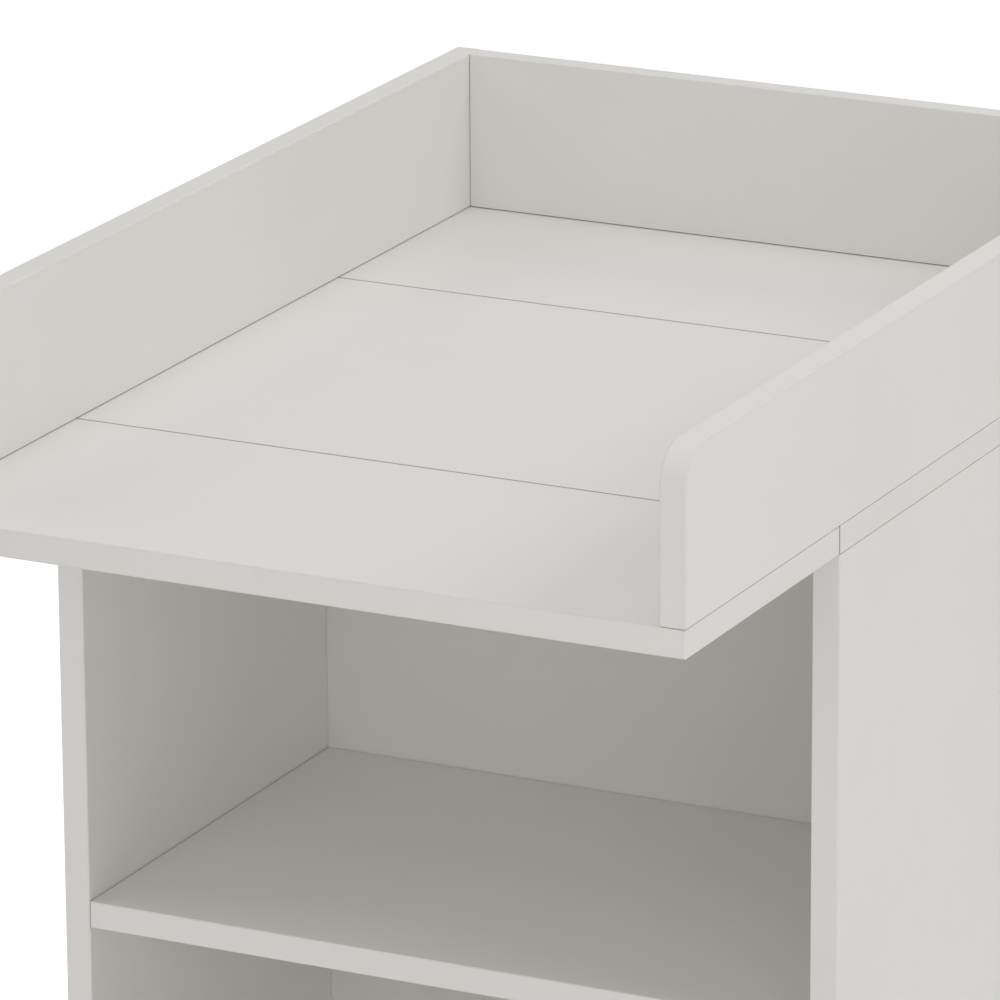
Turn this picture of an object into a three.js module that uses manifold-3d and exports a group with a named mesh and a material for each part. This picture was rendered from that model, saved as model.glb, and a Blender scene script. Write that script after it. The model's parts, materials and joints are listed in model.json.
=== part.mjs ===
// Changing table: an open cabinet with a fenced changing top that overhangs it at the front and at the back.
// Millimetres, +Z up, the front of the table towards -Y, +X to the right of someone who stands in front.
// The origin is on the floor, under the middle of the footprint.
import * as THREE from 'three';
import { mergeVertices } from 'three/addons/utils/BufferGeometryUtils.js';
import { RoundedBoxGeometry } from 'three/addons/geometries/RoundedBoxGeometry.js';
import Module from 'manifold-3d';

// ---- driving dimensions ----
const WIDTH = 540;
const DEPTH = 790;
const HEIGHT = 990;
const DECK_TOP = 882; // the changing surface
const FRONT_OVERHANG = 219.3; // changing top in front of the cabinet
const CABINET_DEPTH = 356.5;

const BOARD = 18; // deck boards, sides, shelves
const SIDE_FENCE = 17;
const BACK_FENCE = 16;
const BACK_FENCE_INSET = 1; // back fence's outer face, in from the ends of the side fences
const FENCE_CORNER = 25; // rounded front top corner of a side fence
const ARRIS = 1; // eased edge of every board
const BACK_PANEL = 3;
const BACK_PANEL_INSET = 22; // free space behind the back panel
const GROOVE_DEPTH = 7;

const GAP = 0.3; // between pieces that touch
const SEAM = 1; // open joint between the deck boards

const UPPER_SHELF_DROP = 323; // changing surface to the top of the upper shelf
const PLINTH_HEIGHT = 60;
const PLINTH_SETBACK = 40;
const LOOSE_SHELF_SETBACK = 2;
const LOOSE_SHELF_CLEARANCE = 1.4; // at each end, past the collars of its pins

// ---- fittings ----
const CAM = { radius: 7.5, depth: 12.5, fromJoint: 34 };
const CAM_RECESS = { length: 9, width: 1.8, depth: 2 };
// reach: how far the bolt goes into the second board
const BOLT = { radius: 3, hole: 4, collar: 3.6, collarLength: 2, thread: 2.8, reach: 10.5, tip: 1 };
const SCREW = { radius: 2, head: 4, point: 0.4, pointLength: 5 };
const SCREW_RECESS = { length: 4, width: 1, depth: 1.2 };
const COUNTERSINK = { rim: 0.8, depth: 2.8 };
const PAN_HEAD = { height: 2.4, rim: 1.2, crown: 3 };
const DECK_SCREW_LENGTH = 45;
const BRACKET_SCREW_LENGTH = 15;
const EDGE_SCREW_LENGTH = 32;
const PEG = { radius: 4, inTopPanel: 9, inFence: 19, chamfer: 1 };
const PIN = { radius: 2.4, collar: 3.8, collarLength: 1, length: 9.8, chamfer: 0.8 };
const SPOON = { length: 8, width: 8, thickness: 1.8 };
const PIN_HOLE = { depth: 10.5, pitch: 32, rows: 5 };
const GLIDE = { radius: 8, height: 3, nail: 1.2, nailLength: 16, nailPoint: 2 };
const STEEL = 2; // bracket thickness
const BEND_RADIUS = 3; // outside of a bracket's bend
const HOLD_DOWN = { width: 16, leg: 40, slotTop: 24, boardScrew: 26 };
const WALL_BRACKET = { width: 22, leg: 30, x: 180, boardScrew: 18, wallHole: 17, wallHoleRadius: 2.75 };

// ---- where the fittings sit, from the edge that each is nearest to ----
const CAM_SETBACK = 45;
const GLIDE_SETBACK = 30;
const PEG_SETBACK = { front: 75, rear: 95 };
const FRONT_BOARD_SCREWS = { outer: 50, inner: 35 };
const REAR_BOARD_SCREWS = { inner: 50, outer: 45 };
const BACK_FENCE_SCREW_X = 110;

// ---- derived planes ----
const RIGHT = WIDTH / 2;
const FRONT = -DEPTH / 2;
const REAR = DEPTH / 2;
const CABINET_FRONT = FRONT + FRONT_OVERHANG;
const CABINET_REAR = CABINET_FRONT + CABINET_DEPTH;
const DECK_BOTTOM = DECK_TOP - BOARD;
const SIDE_BOTTOM = GLIDE.height + GAP;
const SIDE_TOP = DECK_BOTTOM - GAP;
const SIDE_INNER = RIGHT - BOARD;
const BACK_PANEL_FRONT = CABINET_REAR - BACK_PANEL_INSET - BACK_PANEL;
const SHELF_REAR = BACK_PANEL_FRONT - GAP;
const SHELF_HALF_WIDTH = SIDE_INNER - GAP;
const UPPER_SHELF_TOP = DECK_TOP - UPPER_SHELF_DROP;
const UPPER_SHELF_BOTTOM = UPPER_SHELF_TOP - BOARD;
const BOTTOM_PANEL_BOTTOM = PLINTH_HEIGHT + GAP;
const BOTTOM_PANEL_TOP = BOTTOM_PANEL_BOTTOM + BOARD;
const LOOSE_SHELF_MIDDLE = (BOTTOM_PANEL_TOP + UPPER_SHELF_BOTTOM) / 2;
const LOOSE_SHELF_BOTTOM = LOOSE_SHELF_MIDDLE - BOARD / 2;
const FENCE_BOTTOM = DECK_TOP + GAP;
const SIDE_MIDDLE = RIGHT - BOARD / 2;
const FENCE_MIDDLE = RIGHT - SIDE_FENCE / 2;
const MAT_HALF_WIDTH = RIGHT - SIDE_FENCE - GAP; // free surface between the fences
const BACK_FENCE_REAR = REAR - BACK_FENCE_INSET;
const BACK_FENCE_MIDDLE = BACK_FENCE_REAR - BACK_FENCE / 2;

const ROUND = 12; // sides of a round fitting
const SMALL_ROUND = 8; // sides of a screw or pin
const WELD = 1e-4;
const CUT_THROUGH = 1; // how far a cutter stands proud of the face it starts from

const SIDES = { left: -1, right: 1 };
const CABINET_ENDS = { front: CABINET_FRONT + CAM_SETBACK, rear: BACK_PANEL_FRONT - CAM_SETBACK };

const X = new THREE.Vector3(1, 0, 0);
const Y = new THREE.Vector3(0, 1, 0);
const Z = new THREE.Vector3(0, 0, 1);

// ---- materials ----
const FOIL = { color: 0xd5d3cf, roughness: 0.55, metalness: 0 };
const HARDBOARD = { color: 0xcfcdc9, roughness: 0.6, metalness: 0 };
const ZINC = { color: 0xb9bbbd, roughness: 0.35, metalness: 1 };
const BEECH = { color: 0xd8b98c, roughness: 0.7, metalness: 0 };
const NYLON = { color: 0xe9e7e2, roughness: 0.5, metalness: 0 };

// ---- solids ----
const wasm = await Module();
wasm.setup();

function toSolid(geometry) {
  const bare = geometry.clone();
  bare.deleteAttribute('normal');
  bare.deleteAttribute('uv');
  const merged = mergeVertices(bare, WELD);
  return new wasm.Manifold(
    new wasm.Mesh({
      numProp: 3,
      vertProperties: merged.attributes.position.array,
      triVerts: new Uint32Array(merged.index.array),
    })
  );
}

function toGeometry(solid) {
  const { vertProperties, triVerts } = solid.getMesh();
  const geometry = new THREE.BufferGeometry();
  geometry.setAttribute('position', new THREE.BufferAttribute(vertProperties, 3));
  geometry.setIndex(new THREE.BufferAttribute(triVerts, 1));
  geometry.computeVertexNormals();
  return geometry;
}

// Ends every face of a geometry on the plane x = level. The shape stays the same.
function splitFaces(geometry, level) {
  const points = Array.from(geometry.attributes.position.array);
  const triangles = [];
  const crossings = new Map();
  const offset = (corner) => points[3 * corner] - level;
  const crossing = (a, b) => {
    const ends = [Math.min(a, b), Math.max(a, b)];
    const key = ends.join();
    if (!crossings.has(key)) {
      const [from, to] = ends;
      const share = offset(from) / (offset(from) - offset(to));
      for (let axis = 0; axis < 3; axis++) {
        points.push(points[3 * from + axis] + share * (points[3 * to + axis] - points[3 * from + axis]));
      }
      crossings.set(key, points.length / 3 - 1);
    }
    return crossings.get(key);
  };
  for (let start = 0; start < geometry.index.count; start += 3) {
    const corners = Array.from(geometry.index.array.slice(start, start + 3));
    const beyond = corners.map((corner) => offset(corner) > 0);
    const alone = [0, 1, 2].find((i) => [1, 2].every((step) => beyond[i] !== beyond[(i + step) % 3]));
    if (alone === undefined) {
      triangles.push(...corners);
      continue;
    }
    const [tip, left, right] = [0, 1, 2].map((i) => corners[(alone + i) % 3]);
    const toLeft = crossing(tip, left);
    const toRight = crossing(tip, right);
    triangles.push(tip, toLeft, toRight, toLeft, left, right, toLeft, right, toRight);
  }
  const split = new THREE.BufferGeometry();
  split.setAttribute('position', new THREE.Float32BufferAttribute(points, 3));
  split.setIndex(triangles);
  split.computeVertexNormals();
  return split;
}

function subtract(geometry, cutters) {
  return toGeometry(cutters.reduce((left, cutter) => left.subtract(toSolid(cutter)), toSolid(geometry)));
}

function unite(...geometries) {
  return toGeometry(geometries.map(toSolid).reduce((all, next) => all.add(next)));
}

function moved(geometry, matrix) {
  return geometry.clone().applyMatrix4(matrix);
}

// A frame at a point, with its local +Z along one direction and its local +X along another.
function frameAt(point, zAxis, xAxis) {
  const yAxis = new THREE.Vector3().crossVectors(zAxis, xAxis);
  return new THREE.Matrix4().makeBasis(xAxis, yAxis, zAxis).setPosition(...point);
}

// A turned solid about +Z from a profile of [radius, height] pairs that starts and ends on the axis.
function turned(profile, sides) {
  const points = profile.map(([radius, height]) => new THREE.Vector2(radius, height));
  return new THREE.LatheGeometry(points, sides).rotateX(Math.PI / 2);
}

function cylinder(radius, from, to, sides) {
  return turned([[0, from], [radius, from], [radius, to], [0, to]], sides);
}

function block([x0, x1], [y0, y1], [z0, z1]) {
  return new THREE.BoxGeometry(x1 - x0, y1 - y0, z1 - z0)
    .translate((x0 + x1) / 2, (y0 + y1) / 2, (z0 + z1) / 2);
}

// ---- scene graph ----
const table = new THREE.Group();
const cabinet = new THREE.Group();
const changingTop = new THREE.Group();
const looseShelf = new THREE.Group();
table.add(cabinet, changingTop, looseShelf);

function addMesh(group, name, geometry, look, matrix) {
  const mesh = new THREE.Mesh(geometry, new THREE.MeshStandardMaterial(look));
  mesh.name = name;
  matrix.decompose(mesh.position, mesh.quaternion, mesh.scale);
  group.add(mesh);
}

// A flat board between two limits on each axis, with eased edges, less its cutters. splits: planes of x
// on which its faces end.
function addBoard(group, name, xs, ys, zs, cutters = [], splits = []) {
  const size = [xs, ys, zs].map(([low, high]) => high - low);
  const centre = [xs, ys, zs].map(([low, high]) => (low + high) / 2);
  const toLocal = new THREE.Matrix4().makeTranslation(...centre.map((value) => -value));
  const body = new RoundedBoxGeometry(...size, 1, ARRIS);
  const cut = subtract(body, cutters.map((cutter) => moved(cutter, toLocal)));
  const geometry = splits.reduce((whole, x) => splitFaces(whole, x - centre[0]), cut);
  addMesh(group, name, geometry, FOIL, new THREE.Matrix4().makeTranslation(...centre));
}

// ---- fittings: each has a body, and a bore that clears it by GAP ----

// Cross recess cut into a head whose face lies at z = 0 and whose body is above it.
function crossRecess({ length, width, depth }) {
  const half = length / 2;
  const side = width / 2;
  return [
    block([-half, half], [-side, side], [-CUT_THROUGH, depth]),
    block([-side, side], [-half, half], [-CUT_THROUGH, depth]),
  ];
}

// Turns a solid so that what faced -Z faces +X.
const FACE_TO_X = new THREE.Matrix4().makeRotationY(-Math.PI / 2);

// Cam and connecting bolt: the bolt along +Z, the cam's face towards +X and flush with the board's face.
function camFitting(boardThickness) {
  const cam = subtract(cylinder(CAM.radius, 0, CAM.depth - GAP, ROUND), crossRecess(CAM_RECESS))
    .applyMatrix4(FACE_TO_X)
    .translate(boardThickness / 2 - GAP, 0, 0);
  const collarEnd = CAM.fromJoint - GAP;
  const collarStart = CAM.fromJoint - BOLT.collarLength;
  const end = CAM.fromJoint + BOLT.reach;
  const bolt = turned(
    [
      [0, 0],
      [BOLT.radius, 0],
      [BOLT.radius, collarStart],
      [BOLT.collar, collarStart],
      [BOLT.collar, collarEnd],
      [BOLT.thread, collarEnd],
      [BOLT.thread, end - BOLT.tip],
      [BOLT.thread - BOLT.tip, end],
      [0, end],
    ],
    SMALL_ROUND
  );
  return unite(cam, bolt);
}

function camBore(boardThickness) {
  const pocket = cylinder(CAM.radius + GAP, -CUT_THROUGH, CAM.depth + GAP, ROUND)
    .applyMatrix4(FACE_TO_X)
    .translate(boardThickness / 2, 0, 0);
  const joint = CAM.fromJoint + GAP / 2;
  const end = CAM.fromJoint + BOLT.reach + GAP;
  const hole = turned(
    [
      [0, 0],
      [BOLT.hole, 0],
      [BOLT.hole, joint],
      [BOLT.thread + GAP, joint],
      [BOLT.thread + GAP, end],
      [0, end],
    ],
    SMALL_ROUND
  );
  return unite(pocket, hole);
}

// Countersunk wood screw along +Z, its head's face just inside the board's face at z = 0.
function countersunkScrew(length) {
  const body = turned(
    [
      [0, GAP],
      [SCREW.head, GAP],
      [SCREW.head, COUNTERSINK.rim],
      [SCREW.radius, COUNTERSINK.depth],
      [SCREW.radius, length - SCREW.pointLength],
      [SCREW.point, length],
      [0, length],
    ],
    SMALL_ROUND
  );
  return subtract(body, crossRecess(SCREW_RECESS));
}

function countersunkBore(length) {
  return turned(
    [
      [0, -CUT_THROUGH],
      [SCREW.head + GAP, -CUT_THROUGH],
      [SCREW.head + GAP, COUNTERSINK.rim + GAP],
      [SCREW.radius + GAP, COUNTERSINK.depth + GAP],
      [SCREW.radius + GAP, length + GAP],
      [0, length + GAP],
    ],
    SMALL_ROUND
  );
}

// Pan-head screw along +Z, its head standing just off the face at z = 0.
function panScrew(length) {
  const body = turned(
    [
      [0, -PAN_HEAD.height],
      [PAN_HEAD.crown, -PAN_HEAD.height],
      [SCREW.head, -PAN_HEAD.rim],
      [SCREW.head, -GAP],
      [SCREW.radius, -GAP],
      [SCREW.radius, length - SCREW.pointLength],
      [SCREW.point, length],
      [0, length],
    ],
    SMALL_ROUND
  );
  const recess = crossRecess(SCREW_RECESS).map((cutter) => cutter.translate(0, 0, -PAN_HEAD.height));
  return subtract(body, recess);
}

function plainBore(radius, length) {
  return cylinder(radius + GAP, -CUT_THROUGH, length + GAP, SMALL_ROUND);
}

// Round wooden peg along +Z with chamfered ends, its lower part in the top panel.
function peg() {
  const bottom = -PEG.inTopPanel;
  return turned(
    [
      [0, bottom],
      [PEG.radius - PEG.chamfer, bottom],
      [PEG.radius, bottom + PEG.chamfer],
      [PEG.radius, PEG.inFence - PEG.chamfer],
      [PEG.radius - PEG.chamfer, PEG.inFence],
      [0, PEG.inFence],
    ],
    ROUND
  );
}

// Spoon-shaped shelf pin: the round stud goes into the side along +Z, the flat spoon points the other way.
function shelfPin() {
  const stud = turned(
    [
      [0, -PIN.collarLength],
      [PIN.collar, -PIN.collarLength],
      [PIN.collar, -GAP],
      [PIN.radius, -GAP],
      [PIN.radius, PIN.length - PIN.chamfer],
      [PIN.radius - PIN.chamfer, PIN.length],
      [0, PIN.length],
    ],
    SMALL_ROUND
  );
  const spoon = block(
    [PIN.radius - SPOON.thickness, PIN.radius],
    [-SPOON.width / 2, SPOON.width / 2],
    [-PIN.collarLength - SPOON.length, -PIN.collarLength / 2]
  );
  return unite(stud, spoon);
}

// Nail-on glide: a disc with a rounded rim on the floor, and a nail that goes up into the side panel.
function glide() {
  const rim = GLIDE.height / 2;
  const nailEnd = GLIDE.height + GLIDE.nailLength;
  return turned(
    [
      [0, 0],
      [GLIDE.radius - rim, 0],
      [GLIDE.radius - rim * (1 - Math.SQRT1_2), rim * (1 - Math.SQRT1_2)],
      [GLIDE.radius, rim],
      [GLIDE.radius, GLIDE.height],
      [GLIDE.nail, GLIDE.height],
      [GLIDE.nail, nailEnd - GLIDE.nailPoint],
      [0, nailEnd],
    ],
    ROUND
  );
}

// Bent steel angle with its outer corner at the origin: one leg runs along +Y under z = 0,
// the other down along -Z behind y = 0.
function angleBracket(width, leg) {
  const outline = new THREE.Shape();
  outline.moveTo(0, -leg);
  outline.lineTo(0, -BEND_RADIUS);
  outline.absarc(BEND_RADIUS, -BEND_RADIUS, BEND_RADIUS, Math.PI, Math.PI / 2, true);
  outline.lineTo(leg, 0);
  outline.lineTo(leg, -STEEL);
  outline.lineTo(BEND_RADIUS, -STEEL);
  outline.absarc(BEND_RADIUS, -BEND_RADIUS, BEND_RADIUS - STEEL, Math.PI / 2, Math.PI, false);
  outline.lineTo(STEEL, -leg);
  outline.closePath();
  const settings = { depth: width, bevelEnabled: false, curveSegments: 4 };
  const toTable = new THREE.Matrix4().makeBasis(Y, Z, X).setPosition(-width / 2, 0, 0);
  return new THREE.ExtrudeGeometry(outline, settings).applyMatrix4(toTable);
}

// A hole straight down through a bracket's level leg.
function bracketHole(y) {
  return cylinder(SCREW.radius + GAP, -STEEL - CUT_THROUGH, CUT_THROUGH, SMALL_ROUND).translate(0, y, 0);
}

// ---- fitting layout: where each sits, which group it moves with, and the bore that it needs ----
const bores = {};

function boreFor(boards, geometry) {
  for (const board of boards) {
    bores[board] = (bores[board] ?? []).concat(geometry);
  }
}

function fit(group, name, body, look, matrix, bore, boards) {
  addMesh(group, name, body, look, matrix);
  boreFor(boards, moved(bore, matrix));
}

// Cams at both ends of a level panel that stands between the sides: cam underneath, bolt out to the side.
function camLevelPanel(panel, bottom) {
  const down = Z.clone().negate();
  for (const [side, sign] of Object.entries(SIDES)) {
    for (const [end, y] of Object.entries(CABINET_ENDS)) {
      const outward = X.clone().multiplyScalar(sign);
      const point = [sign * (SIDE_INNER - CAM.fromJoint), y, bottom + BOARD / 2];
      const matrix = frameAt(point, outward, down);
      const boards = [panel, `side_panel_${side}`];
      fit(cabinet, `${panel}_cam_${side}_${end}`, camFitting(BOARD), ZINC, matrix, camBore(BOARD), boards);
    }
  }
}

// Cams in the inner faces of the sides, with bolts up into the top panel.
function camTopPanel() {
  for (const [side, sign] of Object.entries(SIDES)) {
    for (const [end, y] of Object.entries(CABINET_ENDS)) {
      const inward = X.clone().multiplyScalar(-sign);
      const matrix = frameAt([sign * SIDE_MIDDLE, y, DECK_BOTTOM - CAM.fromJoint], Z, inward);
      const boards = ['top_panel', `side_panel_${side}`];
      fit(cabinet, `top_panel_cam_${side}_${end}`, camFitting(BOARD), ZINC, matrix, camBore(BOARD), boards);
    }
  }
}

// Cams in the rear face of the back fence, with bolts out into the side fences.
function camBackFence() {
  for (const [side, sign] of Object.entries(SIDES)) {
    const outward = X.clone().multiplyScalar(sign);
    const x = sign * (RIGHT - SIDE_FENCE - CAM.fromJoint);
    const matrix = frameAt([x, BACK_FENCE_MIDDLE, (FENCE_BOTTOM + HEIGHT) / 2], outward, Y);
    const boards = ['back_fence', `side_fence_${side}`];
    const bore = camBore(BACK_FENCE);
    fit(changingTop, `back_fence_cam_${side}`, camFitting(BACK_FENCE), ZINC, matrix, bore, boards);
  }
}

// A screw that holds a deck board up against a fence, from underneath.
function screwDeckBoard(board, fence, name, x, y) {
  const matrix = frameAt([x, y, DECK_BOTTOM], Z, X);
  const bore = countersunkBore(DECK_SCREW_LENGTH);
  fit(changingTop, name, countersunkScrew(DECK_SCREW_LENGTH), ZINC, matrix, bore, [board, fence]);
}

function screwDeck() {
  const rows = {
    front_board: { outer: FRONT + FRONT_BOARD_SCREWS.outer, inner: CABINET_FRONT - FRONT_BOARD_SCREWS.inner },
    rear_board: { inner: CABINET_REAR + REAR_BOARD_SCREWS.inner, outer: REAR - REAR_BOARD_SCREWS.outer },
  };
  for (const [side, sign] of Object.entries(SIDES)) {
    for (const [board, places] of Object.entries(rows)) {
      for (const [place, y] of Object.entries(places)) {
        const name = `${board}_screw_${side}_${place}`;
        screwDeckBoard(board, `side_fence_${side}`, name, sign * FENCE_MIDDLE, y);
      }
    }
    const x = sign * BACK_FENCE_SCREW_X;
    screwDeckBoard('rear_board', 'back_fence', `back_fence_screw_${side}`, x, BACK_FENCE_MIDDLE);
  }
}

// Pegs glued upright in the top panel; the side fences drop over them.
function pegTopPanel() {
  const places = { front: CABINET_FRONT + PEG_SETBACK.front, rear: CABINET_REAR - PEG_SETBACK.rear };
  const bore = cylinder(PEG.radius + GAP, -PEG.inTopPanel - GAP, PEG.inFence + GAP, ROUND);
  for (const [side, sign] of Object.entries(SIDES)) {
    for (const [place, y] of Object.entries(places)) {
      const matrix = frameAt([sign * FENCE_MIDDLE, y, DECK_TOP], Z, X);
      const boards = ['top_panel', `side_fence_${side}`];
      fit(cabinet, `locating_peg_${side}_${place}`, peg(), BEECH, matrix, bore, boards);
    }
  }
}

// Four pins carry the loose shelf; spare rows of holes above and below let it move up or down.
function pinLooseShelf() {
  const level = LOOSE_SHELF_BOTTOM - GAP - PIN.radius;
  const bore = plainBore(PIN.radius, PIN_HOLE.depth);
  for (const [side, sign] of Object.entries(SIDES)) {
    const outward = X.clone().multiplyScalar(sign);
    for (const [end, y] of Object.entries(CABINET_ENDS)) {
      const matrix = frameAt([sign * SIDE_INNER, y, level], outward, Z);
      addMesh(cabinet, `shelf_pin_${side}_${end}`, shelfPin(), ZINC, matrix);
      for (let row = 0; row < PIN_HOLE.rows; row += 1) {
        const z = level + (row - (PIN_HOLE.rows - 1) / 2) * PIN_HOLE.pitch;
        boreFor([`side_panel_${side}`], moved(bore, frameAt([sign * SIDE_INNER, y, z], outward, Z)));
      }
    }
  }
}

function addGlides() {
  const places = { front: CABINET_FRONT + GLIDE_SETBACK, rear: CABINET_REAR - GLIDE_SETBACK };
  const bore = plainBore(GLIDE.nail, GLIDE.height + GLIDE.nailLength);
  for (const [side, sign] of Object.entries(SIDES)) {
    for (const [place, y] of Object.entries(places)) {
      const matrix = frameAt([sign * SIDE_MIDDLE, y, 0], Z, X);
      fit(cabinet, `glide_${side}_${place}`, glide(), NYLON, matrix, bore, [`side_panel_${side}`]);
    }
  }
}

// A pan-head screw up through a bracket into the rear board.
function screwBracket(name, corner, y) {
  const matrix = frameAt([corner[0], corner[1] + y, corner[2] - STEEL], Z, X);
  const bore = plainBore(SCREW.radius, BRACKET_SCREW_LENGTH);
  fit(changingTop, name, panScrew(BRACKET_SCREW_LENGTH), ZINC, matrix, bore, ['rear_board']);
}

// Angles under the rear board hook over a screw in each side's rear edge. The slot is open at the bottom,
// so with the screw slackened the changing top lifts straight off.
function addHoldDowns() {
  const slotHalf = SCREW.radius + GAP;
  const slotDepth = [-CUT_THROUGH, STEEL + CUT_THROUGH];
  const slot = block([-slotHalf, slotHalf], slotDepth, [-HOLD_DOWN.leg - CUT_THROUGH, -HOLD_DOWN.slotTop]);
  const angle = angleBracket(HOLD_DOWN.width, HOLD_DOWN.leg);
  const body = subtract(angle, [slot, bracketHole(HOLD_DOWN.boardScrew)]);
  const bore = plainBore(SCREW.radius, EDGE_SCREW_LENGTH);
  for (const [side, sign] of Object.entries(SIDES)) {
    const corner = [sign * SIDE_MIDDLE, CABINET_REAR + GAP, DECK_BOTTOM - GAP];
    addMesh(changingTop, `hold_down_${side}`, body, ZINC, frameAt(corner, Z, X));
    screwBracket(`hold_down_board_screw_${side}`, corner, HOLD_DOWN.boardScrew);
    const inSlot = [corner[0], corner[1] + STEEL, corner[2] - HOLD_DOWN.slotTop - slotHalf];
    const matrix = frameAt(inSlot, Y.clone().negate(), X);
    const screw = panScrew(EDGE_SCREW_LENGTH);
    fit(cabinet, `hold_down_edge_screw_${side}`, screw, ZINC, matrix, bore, [`side_panel_${side}`]);
  }
}

// Angles under the rear board's back edge, with a hole each for a screw into the wall.
function addWallBrackets() {
  const wallHole = cylinder(WALL_BRACKET.wallHoleRadius, -STEEL - CUT_THROUGH, CUT_THROUGH, SMALL_ROUND)
    .rotateX(-Math.PI / 2)
    .translate(0, 0, -WALL_BRACKET.wallHole);
  const turnedBack = angleBracket(WALL_BRACKET.width, WALL_BRACKET.leg).rotateZ(Math.PI);
  const body = subtract(turnedBack, [bracketHole(-WALL_BRACKET.boardScrew), wallHole]);
  for (const [side, sign] of Object.entries(SIDES)) {
    const corner = [sign * WALL_BRACKET.x, REAR, DECK_BOTTOM - GAP];
    addMesh(changingTop, `wall_bracket_${side}`, body, ZINC, frameAt(corner, Z, X));
    screwBracket(`wall_bracket_screw_${side}`, corner, -WALL_BRACKET.boardScrew);
  }
}

camLevelPanel('upper_shelf', UPPER_SHELF_BOTTOM);
camLevelPanel('bottom_panel', BOTTOM_PANEL_BOTTOM);
camTopPanel();
camBackFence();
screwDeck();
pegTopPanel();
pinLooseShelf();
addGlides();
addHoldDowns();
addWallBrackets();

// ---- boards ----

// The groove that runs round the cabinet and holds the back panel, as a solid to cut from a board.
function backPanelSpace(clearance) {
  return block(
    [-SIDE_INNER - GROOVE_DEPTH - clearance, SIDE_INNER + GROOVE_DEPTH + clearance],
    [BACK_PANEL_FRONT - clearance, BACK_PANEL_FRONT + BACK_PANEL + clearance],
    [BOTTOM_PANEL_TOP - GROOVE_DEPTH - clearance, DECK_BOTTOM + GROOVE_DEPTH + clearance]
  );
}

function addCabinetBoards() {
  const depth = [CABINET_FRONT, CABINET_REAR];
  const shelfWidth = [-SHELF_HALF_WIDTH, SHELF_HALF_WIDTH];
  const groove = backPanelSpace(GAP);
  for (const [side, sign] of Object.entries(SIDES)) {
    const across = [sign * SIDE_INNER, sign * RIGHT].sort((a, b) => a - b);
    const name = `side_panel_${side}`;
    addBoard(cabinet, name, across, depth, [SIDE_BOTTOM, SIDE_TOP], [groove, ...bores[name]]);
  }
  const topCutters = [groove, ...bores.top_panel];
  const matLimits = [-MAT_HALF_WIDTH, MAT_HALF_WIDTH];
  addBoard(cabinet, 'top_panel', [-RIGHT, RIGHT], depth, [DECK_BOTTOM, DECK_TOP], topCutters, matLimits);
  const upperLimits = [shelfWidth, [CABINET_FRONT, SHELF_REAR], [UPPER_SHELF_BOTTOM, UPPER_SHELF_TOP]];
  addBoard(cabinet, 'upper_shelf', ...upperLimits, bores.upper_shelf);
  const bottomLimits = [shelfWidth, depth, [BOTTOM_PANEL_BOTTOM, BOTTOM_PANEL_TOP]];
  addBoard(cabinet, 'bottom_panel', ...bottomLimits, [groove, ...bores.bottom_panel]);
  const plinthFront = CABINET_FRONT + PLINTH_SETBACK;
  addBoard(cabinet, 'plinth', shelfWidth, [plinthFront, plinthFront + BOARD], [SIDE_BOTTOM, PLINTH_HEIGHT]);
  addMesh(cabinet, 'back_panel', backPanelSpace(0), HARDBOARD, new THREE.Matrix4());
}

function addLooseShelf() {
  const halfWidth = SIDE_INNER - LOOSE_SHELF_CLEARANCE;
  const depth = [CABINET_FRONT + LOOSE_SHELF_SETBACK, SHELF_REAR - GAP];
  const level = [LOOSE_SHELF_BOTTOM, LOOSE_SHELF_BOTTOM + BOARD];
  addBoard(looseShelf, 'loose_shelf', [-halfWidth, halfWidth], depth, level);
}

function addDeckBoards() {
  const level = [DECK_BOTTOM, DECK_TOP];
  const across = [-RIGHT, RIGHT];
  addBoard(changingTop, 'front_board', across, [FRONT, CABINET_FRONT - SEAM], level, bores.front_board);
  addBoard(changingTop, 'rear_board', across, [CABINET_REAR + SEAM, REAR], level, bores.rear_board);
}

// A side fence in its own frame: x from front to rear, y up, extruded across its thickness.
function sideFenceBody() {
  const length = DEPTH - 2 * ARRIS;
  const height = HEIGHT - FENCE_BOTTOM - 2 * ARRIS;
  const radius = FENCE_CORNER - ARRIS;
  const outline = new THREE.Shape();
  outline.moveTo(0, 0);
  outline.lineTo(length, 0);
  outline.lineTo(length, height);
  outline.lineTo(radius, height);
  outline.absarc(radius, height - radius, radius, Math.PI / 2, Math.PI, false);
  outline.closePath();
  const settings = {
    depth: SIDE_FENCE - 2 * ARRIS,
    bevelThickness: ARRIS,
    bevelSize: ARRIS,
    bevelSegments: 2,
    curveSegments: 10,
  };
  const toTable = new THREE.Matrix4()
    .makeBasis(Y, Z, X)
    .setPosition(-SIDE_FENCE / 2 + ARRIS, FRONT + ARRIS, FENCE_BOTTOM + ARRIS);
  return new THREE.ExtrudeGeometry(outline, settings).applyMatrix4(toTable);
}

function addFences() {
  for (const [side, sign] of Object.entries(SIDES)) {
    const name = `side_fence_${side}`;
    const place = new THREE.Matrix4().makeTranslation(sign * FENCE_MIDDLE, 0, 0);
    const toLocal = place.clone().invert();
    const cutters = bores[name].map((bore) => moved(bore, toLocal));
    addMesh(changingTop, name, subtract(sideFenceBody(), cutters), FOIL, place);
  }
  const across = [-MAT_HALF_WIDTH, MAT_HALF_WIDTH];
  const depth = [BACK_FENCE_REAR - BACK_FENCE, BACK_FENCE_REAR];
  addBoard(changingTop, 'back_fence', across, depth, [FENCE_BOTTOM, HEIGHT], bores.back_fence);
}

addCabinetBoards();
addLooseShelf();
addDeckBoards();
addFences();

export default table;
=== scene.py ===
"""Changing table in foil-faced board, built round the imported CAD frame. Everything is in metres."""

import json
import math

import bmesh
import bpy
from mathutils import Matrix, Vector


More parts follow.
